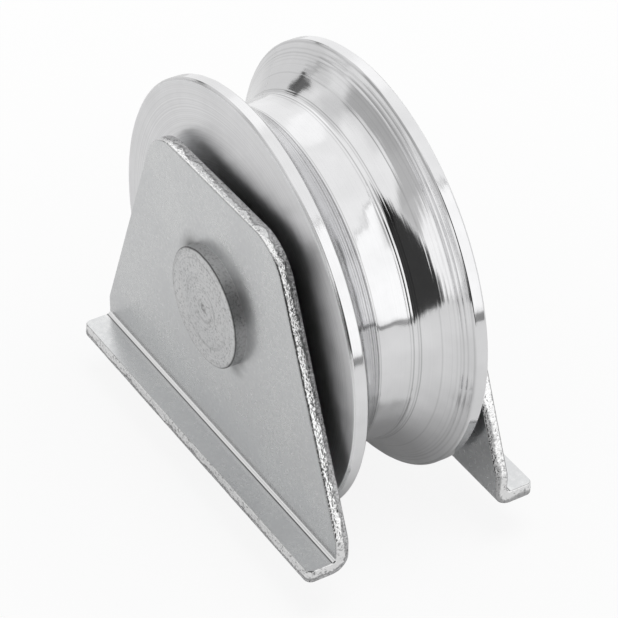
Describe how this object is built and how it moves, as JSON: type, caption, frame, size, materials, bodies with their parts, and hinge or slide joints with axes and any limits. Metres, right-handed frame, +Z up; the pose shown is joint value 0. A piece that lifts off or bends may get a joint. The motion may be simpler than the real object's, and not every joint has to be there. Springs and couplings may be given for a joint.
{
  "type": "bracketed v groove wheel",
  "caption": "Steel wheel with a wide V groove and a flattened root, on a shielded ball bearing and a headed pin between facing L brackets with outward base flanges.",
  "frame": {"origin": "centre of the wheel, on its axle", "axes": "+Y along the axle from the turned pin head to the riveted end, +X along the base flanges, +Z up from the flanges to the axle"},
  "size_m": [0.1034, 0.0586, 0.1],
  "materials": {
    "bracket_zinc": "zinc plated cut and bent sheet, satin, with bright sheared edges",
    "wheel_zinc": "zinc plated turned steel, bright groove and fine turned sides",
    "pin_zinc": "zinc plated turned steel",
    "spacer_steel": "turned tube",
    "spring_steel": "oiled black spring steel",
    "bearing_steel": "ground bearing steel",
    "ball_steel": "polished balls",
    "cage_steel": "pressed strip",
    "shield_steel": "pressed sheet"
  },
  "bodies": {
    "carrier": {"bracket_near": "bracket_zinc", "bracket_far": "bracket_zinc", "axle_pin": "pin_zinc", "spacer_near": "spacer_steel", "spacer_far": "spacer_steel", "bearing_inner_ring": "bearing_steel"},
    "rolling_wheel": {"wheel": "wheel_zinc", "retaining_ring": "spring_steel", "bearing_outer_ring": "bearing_steel", "shield_near": "shield_steel", "shield_far": "shield_steel"},
    "cage": {"cage_half_near": "cage_steel", "cage_half_far": "cage_steel", "cage_rivets": "cage_steel"},
    "rolling_ball_1": {"ball_1": "ball_steel"},
    "rolling_ball_2": {"ball_2": "ball_steel"},
    "rolling_ball_3": {"ball_3": "ball_steel"},
    "rolling_ball_4": {"ball_4": "ball_steel"},
    "rolling_ball_5": {"ball_5": "ball_steel"},
    "rolling_ball_6": {"ball_6": "ball_steel"},
    "rolling_ball_7": {"ball_7": "ball_steel"},
    "rolling_ball_8": {"ball_8": "ball_steel"}
  },
  "joints": [
    {"name": "wheel_spin", "type": "hinge", "parent": "carrier", "child": "rolling_wheel", "pos_m": [0, 0, 0], "axis": [0, 1, 0], "continuous": true},
    {"name": "cage_orbit", "type": "hinge", "parent": "carrier", "child": "cage", "pos_m": [0, 0, 0], "axis": [0, 1, 0], "continuous": true},
    {"name": "ball_1_spin", "type": "hinge", "parent": "cage", "child": "rolling_ball_1", "pos_m": [0, 0, 0.01675], "axis": [0, 1, 0], "continuous": true},
    {"name": "ball_2_spin", "type": "hinge", "parent": "cage", "child": "rolling_ball_2", "pos_m": [0.01184, 0, 0.01184], "axis": [0, 1, 0], "continuous": true},
    {"name": "ball_3_spin", "type": "hinge", "parent": "cage", "child": "rolling_ball_3", "pos_m": [0.01675, 0, 0], "axis": [0, 1, 0], "continuous": true},
    {"name": "ball_4_spin", "type": "hinge", "parent": "cage", "child": "rolling_ball_4", "pos_m": [0.01184, 0, -0.01184], "axis": [0, 1, 0], "continuous": true},
    {"name": "ball_5_spin", "type": "hinge", "parent": "cage", "child": "rolling_ball_5", "pos_m": [0, 0, -0.01675], "axis": [0, 1, 0], "continuous": true},
    {"name": "ball_6_spin", "type": "hinge", "parent": "cage", "child": "rolling_ball_6", "pos_m": [-0.01184, 0, -0.01184], "axis": [0, 1, 0], "continuous": true},
    {"name": "ball_7_spin", "type": "hinge", "parent": "cage", "child": "rolling_ball_7", "pos_m": [-0.01675, 0, 0], "axis": [0, 1, 0], "continuous": true},
    {"name": "ball_8_spin", "type": "hinge", "parent": "cage", "child": "rolling_ball_8", "pos_m": [-0.01184, 0, 0.01184], "axis": [0, 1, 0], "continuous": true}
  ],
  "couplings": [
    {"joint": "cage_orbit", "follows": "wheel_spin", "ratio": 0.61848},
    {"joint": "ball_1_spin", "follows": "wheel_spin", "ratio": 1.9916},
    {"joint": "ball_2_spin", "follows": "wheel_spin", "ratio": 1.9916},
    {"joint": "ball_3_spin", "follows": "wheel_spin", "ratio": 1.9916},
    {"joint": "ball_4_spin", "follows": "wheel_spin", "ratio": 1.9916},
    {"joint": "ball_5_spin", "follows": "wheel_spin", "ratio": 1.9916},
    {"joint": "ball_6_spin", "follows": "wheel_spin", "ratio": 1.9916},
    {"joint": "ball_7_spin", "follows": "wheel_spin", "ratio": 1.9916},
    {"joint": "ball_8_spin", "follows": "wheel_spin", "ratio": 1.9916}
  ]
}
